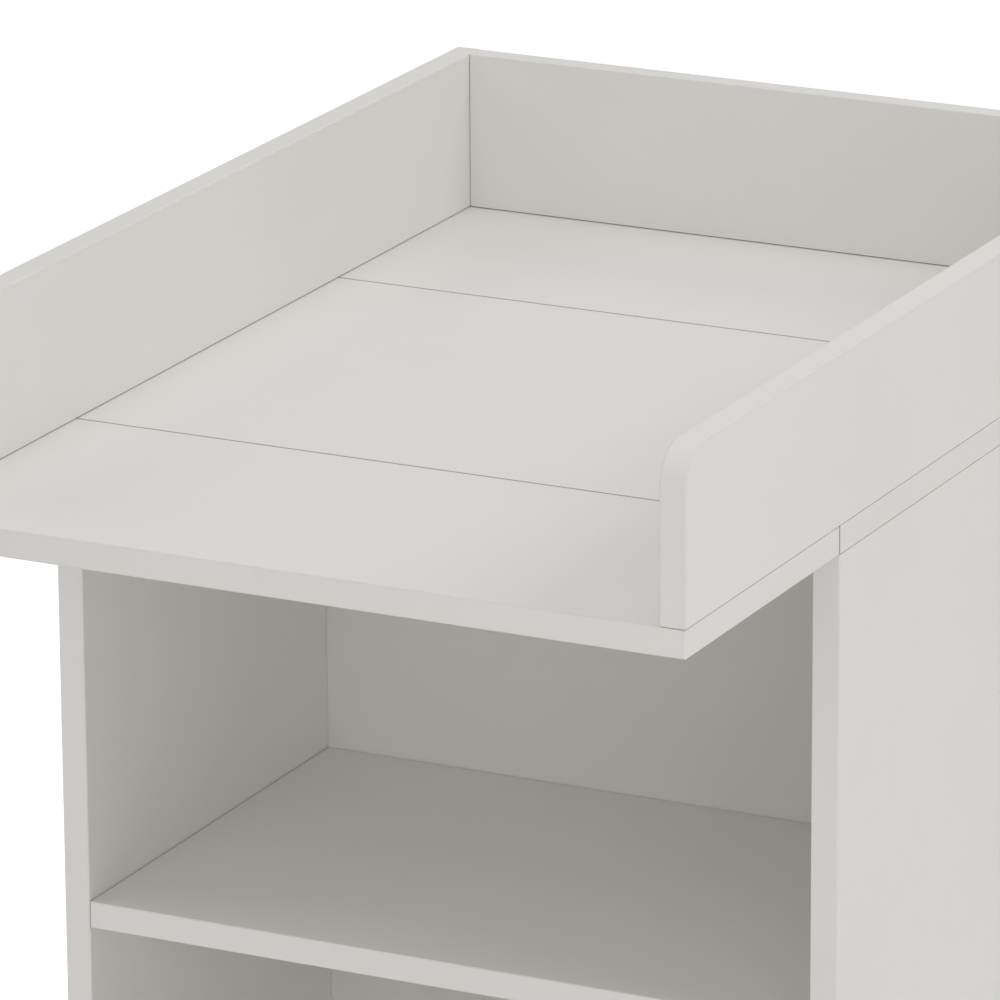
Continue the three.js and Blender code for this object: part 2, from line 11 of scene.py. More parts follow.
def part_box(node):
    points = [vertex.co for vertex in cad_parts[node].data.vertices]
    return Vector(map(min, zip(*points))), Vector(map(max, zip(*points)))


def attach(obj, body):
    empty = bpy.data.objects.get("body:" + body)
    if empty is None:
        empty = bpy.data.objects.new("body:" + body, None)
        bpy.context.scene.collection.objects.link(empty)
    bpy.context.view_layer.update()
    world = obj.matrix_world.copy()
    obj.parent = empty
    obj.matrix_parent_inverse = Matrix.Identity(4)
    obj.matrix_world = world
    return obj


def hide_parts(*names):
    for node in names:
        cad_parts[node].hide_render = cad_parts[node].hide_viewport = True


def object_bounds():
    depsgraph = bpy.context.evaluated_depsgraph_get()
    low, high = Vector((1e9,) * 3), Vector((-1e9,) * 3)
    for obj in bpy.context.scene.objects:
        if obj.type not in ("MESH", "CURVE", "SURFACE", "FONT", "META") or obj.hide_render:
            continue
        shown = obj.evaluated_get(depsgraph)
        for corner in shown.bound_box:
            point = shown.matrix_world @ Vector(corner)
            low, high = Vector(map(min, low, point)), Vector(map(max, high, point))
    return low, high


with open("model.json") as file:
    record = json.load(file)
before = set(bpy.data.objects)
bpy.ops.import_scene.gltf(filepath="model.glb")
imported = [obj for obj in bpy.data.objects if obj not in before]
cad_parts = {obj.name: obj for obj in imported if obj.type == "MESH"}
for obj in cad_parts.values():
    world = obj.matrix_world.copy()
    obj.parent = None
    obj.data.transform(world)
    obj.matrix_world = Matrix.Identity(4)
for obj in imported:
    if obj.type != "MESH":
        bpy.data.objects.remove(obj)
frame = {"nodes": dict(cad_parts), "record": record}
cad_low, cad_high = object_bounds()

MM = 0.001

# ---- boards ----
ARRIS = 1.0 * MM  # rounded free edge of a board
JOINT_ARRIS = 0.4  # share of the arris on an edge that meets another board
JOINT_REACH = 1.5 * MM  # how near the other board is
HIDDEN_REACH = 0.5 * MM  # an edge this near the board that hides it is left raw
CORNER_PROBE = 3 * MM  # how far beyond a rounding another board is felt for
CORNER_REACH = 0.1 * MM
FACING = 0.999  # least share of a normal along an axis for a face that looks straight along it
LEANING = 0.1  # least share of a normal along an axis for a face that leans that way
ARRIS_STEPS = 4
FENCE_CORNER = 25 * MM
FENCE_CORNER_STEPS = 24
CLEARANCE = 0.3 * MM  # between a fitting and its bore

# ---- fittings ----
ROUND = 32  # sides of a turned piece
THREAD_DEPTH = 0.35 * MM
THREAD_PITCH = 1.6 * MM
BOLT = {"shank": 3 * MM, "collar": 3.6 * MM, "collar_length": 2 * MM, "thread": 2.8 * MM, "reach": 10.5 * MM}
BOLT_BORE = 4 * MM
BOLT_TIP = 1 * MM
CAM_RIM = 0.4 * MM
SCREW = {"shank": 2 * MM, "rim": 0.5 * MM, "cone": 2.5 * MM, "plain": 0.4, "point": 5 * MM, "edge": 0.2 * MM}
PAN = {"height": 2.4 * MM, "rim": 1.2 * MM, "plain": 2 * MM}
PAN_DOME = (0.35, 0.7, 1.05, 1.3)  # angles at which the dome of a pan head is drawn
# length, width and depth of the cross recesses
CAM_CROSS = (9 * MM, 1.8 * MM, 2 * MM)
DECK_SCREW_CROSS = (4 * MM, 0.9 * MM, 1.4 * MM)
PAN_SCREW_CROSS = (4 * MM, 0.9 * MM, 1.6 * MM)
CROSS_TAPER = 0.6
POINT = 0.3 * MM  # what is left of a screw's point
OVERCUT = 1 * MM  # how far a tool starts outside what it cuts
PEG = {"chamfer": 1 * MM, "flutes": 16, "flute_depth": 0.25 * MM}
PIN = {"collar": 3.8 * MM, "collar_length": 1 * MM, "stud": 2.4 * MM, "chamfer": 0.8 * MM}
SPOON = {"length": 8 * MM, "width": 8 * MM, "thickness": 1.8 * MM, "corner": 1.5 * MM}
PIN_EDGE = 0.3 * MM
SPOON_CORNER = (-1.57, -1.05, -0.52, 0)  # angles of its rounded corners
PIN_HOLE = {"depth": 10.5 * MM, "pitch": 32 * MM, "rows": 5}
GLIDE = {"height": 3 * MM, "dish": 0.4 * MM, "bevel": 1 * MM, "ring": 0.55, "nail": 1.2 * MM, "point": 2 * MM}
GLIDE_RIM = (0, 0.4, 0.8, 1.2, 1.57)
STEEL = 2 * MM
BEND = 3 * MM
BEND_TURN = (0, 0.39, 0.79, 1.18, 1.57)
STEEL_EDGE = 0.25 * MM
# from the bend to the screw under the rear board
BRACKET_HOLE = {"hold_down": 26 * MM, "wall_bracket": 18 * MM}
SLOT_TOP = 24 * MM
WALL_HOLE = {"drop": 17 * MM, "radius": 2.75 * MM}
SHEET_EDGE = 0.2 * MM

GROOVED_BOARDS = ("side_panel_left", "side_panel_right", "top_panel", "bottom_panel")
PLAIN_BOARDS = ("upper_shelf", "loose_shelf", "plinth", "front_board", "rear_board", "back_fence")
SIDE_FENCES = ("side_fence_left", "side_fence_right")
BOARD_BOXES = {board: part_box(board) for board in (*GROOVED_BOARDS, *PLAIN_BOARDS, *SIDE_FENCES, "back_panel")}

# ---- camera and light ----
CAMERA_PLACE = Vector((2.0715, -4.2754, 2.3084))
CAMERA_YAW = 26.33
CAMERA_PITCH = 17.48
CAMERA_ROLL = -0.33
CAMERA_LENS = 282
CAMERA_SENSOR = 36
CAMERA_NEAR = 0.05
CAMERA_FAR = 200
BOUNCES = 8  # enough for light to reach the back of the compartments
DOME = 0.447  # light from all round
BACKDROP = 1.0  # how bright the room looks behind the object
LIGHT_COLOUR = (1.0, 0.998, 0.99)
FLOOR = {"rings": 24, "sides": 96, "reach": 60.0}
SOFT_BOX_SIZE = 2.4
SOFT_BOXES = {  # where each stands, and its power in watts
    "front_softbox": (Vector((0.2, -4.0, 2.4)), 20.7),
    "front_right_softbox": (Vector((2.6, -3.2, 1.2)), 19),
    "right_softbox": (Vector((3.2, 0.3, 3.4)), 39.5),
    "left_softbox": (Vector((-3.2, -1.0, 3.4)), 15.6),
    "rear_softbox": (Vector((0.0, 3.6, 3.4)), 25),
    "top_softbox": (Vector((0.0, 0.0, 4.5)), 19),
}

BODY_OF = {node: body for body, nodes in frame["record"]["behaviour"]["bodies"].items() for node in nodes}
X, Y, Z = Vector((1, 0, 0)), Vector((0, 1, 0)), Vector((0, 0, 1))


# ---- materials ----
class Nodes:
    """A material's node tree, with short calls for the few nodes that the materials here use."""

    def __init__(self, name):
        self.material = bpy.data.materials.new(name)
        self.material.use_nodes = True
        self.tree = self.material.node_tree
        self.shader = self.tree.nodes["Principled BSDF"]
        self.where = self.add("ShaderNodeTexCoord").outputs["Object"]

    def add(self, kind, **inputs):
        node = self.tree.nodes.new(kind)
        for name, value in inputs.items():
            self.feed(node.inputs[name.replace("_", " ")], value)
        return node

    def feed(self, socket, value):
        if isinstance(value, bpy.types.NodeSocket):
            self.tree.links.new(value, socket)
        else:
            socket.default_value = value

    def stretched(self, scale):
        return self.add("ShaderNodeMapping", Vector=self.where, Scale=scale).outputs["Vector"]

    def noise(self, scale, detail=2.0, rough=0.5, where=None):
        where = where or self.where
        node = self.add("ShaderNodeTexNoise", Vector=where, Scale=scale, Detail=detail, Roughness=rough)
        return node.outputs["Fac"]

    def cells(self, scale, where=None):
        return self.add("ShaderNodeTexVoronoi", Vector=where or self.where, Scale=scale).outputs["Color"]

    def ramp(self, factor, *stops):
        node = self.add("ShaderNodeValToRGB", Fac=factor)
        band = node.color_ramp
        while len(band.elements) < len(stops):
            band.elements.new(0.5)
        for element, (place, colour) in zip(band.elements, stops):
            element.position = place
            element.color = (*colour, 1)
        return node.outputs["Color"]

    def span(self, factor, low, high, start=0.3, end=0.7):
        node = self.add("ShaderNodeMapRange", Value=factor)
        for name, value in (("From Min", start), ("From Max", end), ("To Min", low), ("To Max", high)):
            node.inputs[name].default_value = value
        return node.outputs["Result"]

    def mix(self, factor, first, second):
        """Colour that goes from a socket to a fixed colour as the factor rises."""
        node = self.tree.nodes.new("ShaderNodeMix")
        node.data_type = "RGBA"
        factor_in, first_in, second_in = (node.inputs[i] for i in (0, 6, 7))
        self.feed(factor_in, factor)
        self.feed(first_in, first)
        self.feed(second_in, (*second, 1))
        return node.outputs[2]

    def bump(self, height, strength, distance, normal=None):
        node = self.add("ShaderNodeBump", Height=height, Strength=strength, Distance=distance)
        if normal is not None:
            self.feed(node.inputs["Normal"], normal)
        return node.outputs["Normal"]

    def finish(self, **inputs):
        for name, value in inputs.items():
            self.feed(self.shader.inputs[name.replace("_", " ")], value)
        return self.material


def scaled(colour, factor):
    return tuple(min(1.0, channel * factor) for channel in colour)


FOIL_COLOUR = (0.785, 0.771, 0.752)


def foil(name, tone, gloss, grain, wear=0.0):
    """Lacquer-look foil: faint cloudy tone, fine pearl emboss, and handling marks that change only the gloss.

    Wear is how much darker the foil gets where hands and boxes rub it.
    """
    n = Nodes(name)
    base = scaled(FOIL_COLOUR, tone)
    cloud = n.noise(5.0, detail=3.0)
    colour = n.ramp(cloud, (0.3, scaled(base, 0.985)), (0.5, base), (0.7, scaled(base, 1.012)))
    if wear:
        rubbed = n.span(n.noise(70.0, detail=5.0, rough=0.65), 0.0, 1.0, 0.5, 0.7)
        colour = n.mix(rubbed, colour, scaled(base, 1 - wear))
    marks = n.noise(26.0, detail=4.0, rough=0.6)
    pearl = n.bump(n.noise(1100.0, detail=2.0), grain, 0.03 * MM)
    ripple = n.bump(n.noise(160.0, detail=1.0), grain * 0.5, 0.05 * MM, normal=pearl)
    return n.finish(Base_Color=colour, Roughness=n.span(marks, gloss - 0.04, gloss + 0.05), Normal=ripple)


def chipboard():
    """Raw chipboard inside the bores and grooves: pale and dark flakes, rough and dry."""
    n = Nodes("raw_chipboard")
    flakes = n.cells(900.0, n.stretched((1, 1, 0.6)))
    colour = n.ramp(flakes, (0.1, (0.20, 0.12, 0.06)), (0.5, (0.42, 0.28, 0.16)), (0.9, (0.56, 0.42, 0.27)))
    relief = n.bump(n.noise(1500.0, detail=3.0), 0.6, 0.2 * MM)
    return n.finish(Base_Color=colour, Roughness=0.9, Normal=relief)


def hardboard_back():
    """The raw back of the hardboard: felted brown fibre with the weave that the press screen leaves."""
    n = Nodes("hardboard_back")
    fibre = n.noise(220.0, detail=5.0, rough=0.7, where=n.stretched((1, 1, 0.35)))
    colour = n.ramp(fibre, (0.3, (0.23, 0.15, 0.09)), (0.5, (0.31, 0.21, 0.13)), (0.72, (0.39, 0.28, 0.18)))
    across = n.add("ShaderNodeTexWave", Vector=n.where, Scale=240.0).outputs["Fac"]
    up = n.add("ShaderNodeTexWave", Vector=n.where, Scale=240.0)
    up.bands_direction = "Z"
    weave = n.bump(across, 0.35, 0.1 * MM, normal=n.bump(up.outputs["Fac"], 0.35, 0.1 * MM))
    return n.finish(Base_Color=colour, Roughness=n.span(fibre, 0.7, 0.85), Normal=weave)


def zinc():
    """Bright zinc plate: metal with a faintly blotched gloss and fine tumbling marks."""
    n = Nodes("zinc_plate")
    blotch = n.noise(420.0, detail=3.0)
    colour = n.ramp(blotch, (0.3, (0.56, 0.57, 0.58)), (0.7, (0.70, 0.70, 0.69)))
    marks = n.bump(n.noise(2600.0, detail=2.0), 0.25, 0.03 * MM)
    return n.finish(Base_Color=colour, Metallic=1.0, Roughness=n.span(blotch, 0.26, 0.42), Normal=marks)


def beech():
    """Turned beech: straight pinkish grain with short dark flecks along it."""
    n = Nodes("beech")
    grain = n.noise(900.0, detail=4.0, rough=0.6, where=n.stretched((1, 1, 0.06)))
    flecks = n.noise(1800.0, detail=1.0, where=n.stretched((1, 1, 0.12)))
    tone = n.ramp(grain, (0.3, (0.42, 0.25, 0.13)), (0.55, (0.56, 0.37, 0.21)), (0.75, (0.64, 0.45, 0.28)))
    flecked = n.mix(n.span(flecks, 0.5, 0.0, 0.3, 0.42), tone, (0.27, 0.14, 0.07))
    relief = n.bump(grain, 0.4, 0.1 * MM)
    return n.finish(Base_Color=flecked, Roughness=n.span(grain, 0.55, 0.7), Normal=relief)


def nylon():
    """Moulded off-white nylon with a spark-eroded texture."""
    n = Nodes("nylon")
    tone = n.ramp(n.noise(60.0), (0.3, (0.70, 0.69, 0.65)), (0.7, (0.76, 0.75, 0.71)))
    grain = n.noise(1800.0, detail=2.0)
    shade = n.span(grain, 0.4, 0.52)
    return n.finish(Base_Color=tone, Roughness=shade, Normal=n.bump(grain, 0.3, 0.05 * MM))


FACE = foil("foil_face", tone=1.0, gloss=0.46, grain=0.22)
# Edge band 1.5% darker than the face foil: painted shade on the board edges; its wear is rubbing.
BAND = foil("foil_edge_band", tone=0.985, gloss=0.46, grain=0.12, wear=0.01)
# Arris foil 6% darker than the face foil: painted shade along the rounded edges; its wear is rubbing.
ROUNDING = foil("foil_arris", tone=0.94, gloss=0.5, grain=0.08, wear=0.05)
# Half-bright foil: painted shade in the seams, on roundings that have another board beside them.
SEAM_SHADE = foil("foil_painted_seam_shade", tone=0.5, gloss=0.6, grain=0.1)
HARDBOARD_FRONT = foil("hardboard_lacquer", tone=0.985, gloss=0.5, grain=0.3)
HARDBOARD_BACK = hardboard_back()
CHIPBOARD = chipboard()
ZINC = zinc()
BEECH = beech()
NYLON = nylon()


# ---- mesh helpers ----
def to_object(name, bm, materials):
    bmesh.ops.recalc_face_normals(bm, faces=bm.faces[:])
    mesh = bpy.data.meshes.new(name)
    bm.to_mesh(mesh)
    bm.free()
    for material in materials:
        mesh.materials.append(material)
    made = bpy.data.objects.new(name, mesh)
    bpy.context.scene.collection.objects.link(made)
    return made


def combine(target, tool, operation):
    """Cuts a tool from an object, or joins it on, and drops the tool. New faces keep the tool's material."""
    step = target.modifiers.new("step", "BOOLEAN")
    step.operation = operation
    step.solver = "EXACT"
    step.material_mode = "TRANSFER"
    step.object = tool
    graph = bpy.context.evaluated_depsgraph_get()
    result = bpy.data.meshes.new_from_object(target.evaluated_get(graph), depsgraph=graph)
    target.modifiers.clear()
    target.data = result
    bpy.data.objects.remove(tool)


def smooth(piece, angle=35):
    """Smooth shading that breaks at real corners and keeps the flat faces flat."""
    mesh = piece.data
    mesh.shade_smooth()
    mesh.set_sharp_from_angle(angle=math.radians(angle))
    weighted = piece.modifiers.new("weighted_normals", "WEIGHTED_NORMAL")
    weighted.keep_sharp = True
    weighted.weight = 100


def hand_over(piece, node):
    """The piece stands for a CAD node: it takes the node's body, and the node is hidden."""
    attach(piece, BODY_OF[node])
    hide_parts(node)


def extrude_outline(points, axis_matrix, depth):
    """A closed solid from an outline in its own X-Y plane, from z = 0 to depth, placed by a matrix."""
    bm = bmesh.new()
    ring = [bm.verts.new((*point, 0)) for point in points]
    face = bm.faces.new(ring)
    made = bmesh.ops.extrude_face_region(bm, geom=[face])
    top = [element for element in made["geom"] if isinstance(element, bmesh.types.BMVert)]
    bmesh.ops.translate(bm, verts=top, vec=(0, 0, depth))
    bmesh.ops.transform(bm, matrix=axis_matrix, verts=bm.verts[:])
    bmesh.ops.recalc_face_normals(bm, faces=bm.faces[:])
    return bm


def round_edges(bm, radius, steps, least_angle=30):
    sharp = [edge for edge in bm.edges if edge.calc_face_angle(0) > math.radians(least_angle)]
    shape = {"offset": radius, "offset_type": "OFFSET", "segments": steps, "profile": 0.5, "affect": "EDGES"}
    bmesh.ops.bevel(bm, geom=sharp, **shape)


def box_body(low, high):
    bm = bmesh.new()
    bmesh.ops.create_cube(bm, size=1)
    middle = (low + high) / 2
    size = high - low
    for vert in bm.verts:
        vert.co = middle + Vector(vert.co[i] * size[i] for i in range(3))
    return bm


def turned(profile, matrix, flutes=0, flute_depth=0.0):
    """A solid of revolution about its own +Z from (radius, height) pairs that start and end on the axis."""
    sides = flutes * 4 if flutes else ROUND
    bm = bmesh.new()
    rings = []
    for radius, height in profile:
        if radius == 0:
            rings.append([bm.verts.new((0, 0, height))] * sides)
            continue
        ring = []
        for side in range(sides):
            turn = math.tau * side / sides
            dent = flute_depth * (0.5 - 0.5 * math.cos(flutes * turn)) if flutes else 0
            out = radius - dent
            ring.append(bm.verts.new((out * math.cos(turn), out * math.sin(turn), height)))
        rings.append(ring)
    for lower, upper in zip(rings, rings[1:]):
        for side in range(sides):
            after = (side + 1) % sides
            corners = [lower[side], lower[after], upper[after], upper[side]]
            distinct = list(dict.fromkeys(corners))
            if len(distinct) > 2:
                bm.faces.new(distinct)
    bmesh.ops.transform(bm, matrix=matrix, verts=bm.verts[:])
    bmesh.ops.recalc_face_normals(bm, faces=bm.faces[:])
    return bm


def frame_at(point, z_axis, x_axis):
    """A frame at a point, with its own +Z and +X along two directions."""
    y_axis = z_axis.cross(x_axis)
    matrix = Matrix((x_axis, y_axis, z_axis)).transposed().to_4x4()
    matrix.translation = point
    return matrix


def threads(radius, start, end):
    """Profile points of a thread cut into a shank, from start to end along its axis."""
    points = []
    turns = max(1, int((end - start) / THREAD_PITCH))
    step = (end - start) / turns
    for turn in range(turns):
        height = start + turn * step
        points += [(radius, height + 0.2 * step), (radius - THREAD_DEPTH, height + 0.7 * step)]
    return points


def cross_recess(matrix, length, width, depth):
    """Two crossed, tapering blades, as a solid to cut from a head that faces the frame's -Z."""
    blades = []
    for turn in (0, math.pi / 2):
        half, side = length / 2, width / 2
        tip = half * CROSS_TAPER
        outline = [(-half, -depth * 0.5), (half, -depth * 0.5), (tip, depth), (-tip, depth)]
        stand = Matrix.Rotation(turn, 4, "Z") @ frame_at(Vector((0, side, 0)), -Y, X)
        blades.append(to_object("blade", extrude_outline(outline, matrix @ stand, width), [ZINC]))
    combine(blades[0], blades[1], "UNION")
    return blades[0]


# ---- fittings: where each sits is read from its CAD node ----
def sign_of(node):
    low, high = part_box(node)
    return 1 if (low + high).x > 0 else -1


def middle_of(node):
    low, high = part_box(node)
    return (low + high) / 2


bores = {}


def bore(board, profile, matrix):
    bores.setdefault(board, []).append((profile, matrix))


def cam_frame(node):
    """The cam's centre on the bolt's axis, +Z along the bolt and +X out of the cam's face."""
    low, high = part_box(node)
    sign = sign_of(node)
    size = high - low
    if node.startswith("top_panel"):
        radius, bolt, face = size.y / 2, Z, X * -sign
        inner = low.x if sign > 0 else high.x
        centre = Vector((inner, middle_of(node).y, low.z + radius))
    elif node.startswith("back_fence"):
        radius, bolt, face = size.z / 2, X * sign, Y
        inner = low.x + radius if sign > 0 else high.x - radius
        centre = Vector((inner, high.y, middle_of(node).z))
    else:
        radius, bolt, face = size.y / 2, X * sign, -Z
        inner = low.x + radius if sign > 0 else high.x - radius
        centre = Vector((inner, middle_of(node).y, low.z))
    return frame_at(centre, bolt, face), radius, min(size), max(size) - radius


def make_cam(node, board, side_board):
    """Cam and bolt. The frame's origin is on the cam's face, the bolt's axis half a board behind it."""
    place, radius, depth, reach = cam_frame(node)
    board_low, board_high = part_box(board if board != "top_panel" else side_board)
    half = min(board_high - board_low) / 2 - CLEARANCE
    axis = place @ Matrix.Translation((-half, 0, 0))
    disc_place = place @ Matrix.Rotation(-math.pi / 2, 4, "Y")
    flat = radius - CAM_RIM
    disc = [(0, 0), (flat, 0), (radius, CAM_RIM), (radius, depth - CAM_RIM), (flat, depth), (0, depth)]
    piece = to_object(node + "_fitting", turned(disc, disc_place), [ZINC])
    joint = reach - BOLT["reach"]
    shank, collar, thread = BOLT["shank"], BOLT["collar"], BOLT["thread"]
    seat = joint - BOLT["collar_length"]
    bolt = [(0, 0), (shank, 0), (shank, seat), (collar, seat)]
    bolt += [(collar, joint - CLEARANCE), (thread - THREAD_DEPTH, joint - CLEARANCE)]
    bolt += threads(thread, joint, reach - BOLT_TIP) + [(thread - BOLT_TIP, reach), (0, reach)]
    combine(piece, to_object("bolt", turned(bolt, axis), [ZINC]), "UNION")
    combine(piece, cross_recess(disc_place, *CAM_CROSS), "DIFFERENCE")
    smooth(piece)
    hand_over(piece, node)
    wide, deep = radius + CLEARANCE, depth + CLEARANCE
    pocket = [(0, -OVERCUT), (wide, -OVERCUT), (wide, deep), (0, deep)]
    narrow, step = thread + CLEARANCE, joint + CLEARANCE / 2
    hole = [(0, 0), (BOLT_BORE, 0), (BOLT_BORE, step), (narrow, step)]
    hole += [(narrow, reach + CLEARANCE), (0, reach + CLEARANCE)]
    housing = side_board if board == "top_panel" else board
    bore(housing, pocket, disc_place)
    for target in (board, side_board):
        bore(target, hole, axis)


def make_deck_screw(node, boards):
    low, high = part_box(node)
    head, length = (high.x - low.x) / 2, high.z - low.z
    place = frame_at(Vector((middle_of(node).x, middle_of(node).y, low.z)), Z, X)
    shank = SCREW["shank"]
    end = length - SCREW["point"]
    body = [(0, 0), (head - SCREW["edge"], 0), (head, SCREW["edge"]), (head, SCREW["rim"])]
    body += [(shank, SCREW["cone"]), *threads(shank, length * SCREW["plain"], end)]
    body += [(shank - THREAD_DEPTH, end), (POINT, length), (0, length)]
    piece = to_object(node + "_piece", turned(body, place), [ZINC])
    combine(piece, cross_recess(place, *DECK_SCREW_CROSS), "DIFFERENCE")
    smooth(piece)
    hand_over(piece, node)
    wide, narrow = head + CLEARANCE, shank + CLEARANCE
    hole = [(0, -OVERCUT), (wide, -OVERCUT)]
    hole += [(wide, SCREW["rim"] + CLEARANCE), (narrow, SCREW["cone"] + CLEARANCE)]
    hole += [(narrow, length + CLEARANCE), (0, length + CLEARANCE)]
    for board in boards:
        bore(board, hole, place)


def make_pan_screw(node, board):
    """Pan-head screw: the frame's +Z runs into the board."""
    low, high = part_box(node)
    middle = middle_of(node)
    if "edge_screw" in node:
        place, length = frame_at(Vector((middle.x, high.y, middle.z)), -Y, X), high.y - low.y
    else:
        place, length = frame_at(Vector((middle.x, middle.y, low.z)), Z, X), high.z - low.z
    head, shank = (high.x - low.x) / 2, SCREW["shank"]
    under = PAN["height"] - CLEARANCE
    crown = PAN["height"] - PAN["rim"]
    dome = [(head * math.sin(turn), crown * (1 - math.cos(turn))) for turn in PAN_DOME]
    body = [(0, 0), *dome, (head, PAN["rim"]), (head, under), (shank, under)]
    end = length - SCREW["point"]
    body += threads(shank, PAN["height"] + PAN["plain"], end)
    body += [(shank - THREAD_DEPTH, end), (POINT, length), (0, length)]
    piece = to_object(node + "_piece", turned(body, place), [ZINC])
    combine(piece, cross_recess(place, *PAN_SCREW_CROSS), "DIFFERENCE")
    smooth(piece)
    hand_over(piece, node)
    start, narrow = PAN["height"], shank + CLEARANCE
    bore(board, [(0, start), (narrow, start), (narrow, length + CLEARANCE), (0, length + CLEARANCE)], place)


def make_peg(node, boards):
    low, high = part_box(node)
    radius, length = (high.x - low.x) / 2, high.z - low.z
    place = frame_at(Vector((middle_of(node).x, middle_of(node).y, low.z)), Z, X)
    chamfer = PEG["chamfer"]
    body = [(0, 0), (radius - chamfer, 0), (radius, chamfer)]
    body += [(radius, length - chamfer), (radius - chamfer, length), (0, length)]
    flutes = {"flutes": PEG["flutes"], "flute_depth": PEG["flute_depth"]}
    piece = to_object(node + "_piece", turned(body, place, **flutes), [BEECH])
    smooth(piece, 50)
    hand_over(piece, node)
    wide = radius + CLEARANCE
    hole = [(0, -CLEARANCE), (wide, -CLEARANCE), (wide, length + CLEARANCE), (0, length + CLEARANCE)]
    for board in boards:
        bore(board, hole, place)


def make_pin(node, board):
    """Spoon pin: the stud goes into the side, and the shelf lies on the flat spoon."""
    low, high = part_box(node)
    sign = sign_of(node)
    spoon_end = low.x if sign > 0 else high.x
    face = spoon_end + sign * (SPOON["length"] + PIN["collar_length"])
    level = low.z + PIN["collar"]
    place = frame_at(Vector((face, middle_of(node).y, level)), X * sign, Z)
    stud = PIN["stud"]
    length = high.x - low.x - SPOON["length"] - PIN["collar_length"]
    collar, start = PIN["collar"], -PIN["collar_length"]
    body = [(0, start), (collar - PIN_EDGE, start), (collar, PIN_EDGE + start), (collar, -CLEARANCE)]
    body += [(stud, -CLEARANCE)]
    body += [(stud, length - PIN["chamfer"]), (stud - PIN["chamfer"], length), (0, length)]
    piece = to_object(node + "_piece", turned(body, place), [ZINC])
    half = SPOON["width"] / 2
    reach = SPOON["length"] + PIN["collar_length"]
    corner = SPOON["corner"]
    tip = []
    for turn in SPOON_CORNER:
        tip.append((corner - reach + corner * math.sin(turn), (half - corner) + corner * math.cos(turn)))
    outline = [(start / 2, half), *reversed(tip)]
    outline += [(z, -y) for z, y in tip] + [(start / 2, -half)]
    plate_place = place @ frame_at(Vector((stud - SPOON["thickness"], 0, 0)), X, Z)
    plate = extrude_outline([(z, -y) for z, y in outline], plate_place, SPOON["thickness"])
    round_edges(plate, PIN_EDGE, 2)
    combine(piece, to_object("spoon", plate, [ZINC]), "UNION")
    smooth(piece)
    hand_over(piece, node)
    wide = stud + CLEARANCE
    hole = [(0, -OVERCUT), (wide, -OVERCUT), (wide, PIN_HOLE["depth"]), (0, PIN_HOLE["depth"])]
    for row in range(PIN_HOLE["rows"]):
        lift = (row - (PIN_HOLE["rows"] - 1) / 2) * PIN_HOLE["pitch"]
        bore(board, hole, Matrix.Translation((0, 0, lift)) @ place)


def make_glide(node, board):
    low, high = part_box(node)
    radius = (high.x - low.x) / 2
    height, nail, dish = GLIDE["height"], GLIDE["nail"], GLIDE["dish"]
    length = high.z - low.z
    rim = height / 2
    place = frame_at(Vector((middle_of(node).x, middle_of(node).y, low.z)), Z, X)
    curve = [(radius - rim + rim * math.sin(turn), rim - rim * math.cos(turn)) for turn in GLIDE_RIM]
    ring = radius * GLIDE["ring"]
    body = [(0, dish), (ring - GLIDE["bevel"], dish), (ring, 0), *curve, (radius, height), (nail, height)]
    body += [(nail, length - GLIDE["point"]), (0, length)]
    piece = to_object(node + "_piece", turned(body, place), [NYLON])
    smooth(piece)
    hand_over(piece, node)
    wide = nail + CLEARANCE
    bore(board, [(0, 0), (wide, 0), (wide, length + CLEARANCE), (0, length + CLEARANCE)], place)


def make_bracket(node):
    """Bent steel angle: one leg under the rear board, the other down the cabinet's rear edge or the wall."""
    low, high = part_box(node)
    kind = node.rsplit("_", 1)[0]
    to_rear = 1 if kind == "hold_down" else -1
    corner_y = low.y if to_rear > 0 else high.y
    width, leg = high.x - low.x, high.z - low.z
    inner = BEND - STEEL
    outer_arc = [(BEND - BEND * math.cos(turn), BEND * math.sin(turn) - BEND) for turn in BEND_TURN]
    inner_arc = [(BEND - inner * math.cos(turn), inner * math.sin(turn) - BEND) for turn in BEND_TURN]
    outline = [(0, -leg), *outer_arc, (leg, 0), (leg, -STEEL), *reversed(inner_arc), (STEEL, -leg)]
    place = frame_at(Vector((low.x, corner_y, high.z)), X, Y * to_rear)
    if to_rear < 0:
        place = frame_at(Vector((high.x, corner_y, high.z)), -X, -Y)
    body = extrude_outline(outline, place, width)
    round_edges(body, STEEL_EDGE, 2, 60)
    piece = to_object(node + "_piece", body, [ZINC])
    centre = middle_of(node).x
    narrow = SCREW["shank"] + CLEARANCE
    down = frame_at(Vector((centre, corner_y + to_rear * BRACKET_HOLE[kind], high.z)), -Z, X)
    through = [(0, -OVERCUT), (narrow, -OVERCUT), (narrow, STEEL + OVERCUT), (0, STEEL + OVERCUT)]
    combine(piece, to_object("hole", turned(through, down), [ZINC]), "DIFFERENCE")
    if kind == "hold_down":
        slot_low = Vector((centre - narrow, corner_y - OVERCUT, low.z - OVERCUT))
        slot_high = Vector((centre + narrow, corner_y + STEEL + OVERCUT, high.z - SLOT_TOP - narrow))
        combine(piece, to_object("slot", box_body(slot_low, slot_high), [ZINC]), "DIFFERENCE")
        top = frame_at(Vector((centre, corner_y, slot_high.z)), Y, X)
        combine(piece, to_object("hole", turned(through, top), [ZINC]), "DIFFERENCE")
    else:
        radius = WALL_HOLE["radius"]
        wall_hole = [(0, -OVERCUT), (radius, -OVERCUT), (radius, STEEL + OVERCUT), (0, STEEL + OVERCUT)]
        back = frame_at(Vector((centre, corner_y, high.z - WALL_HOLE["drop"])), -Y, X)
        combine(piece, to_object("hole", turned(wall_hole, back), [ZINC]), "DIFFERENCE")
    smooth(piece)
    hand_over(piece, node)


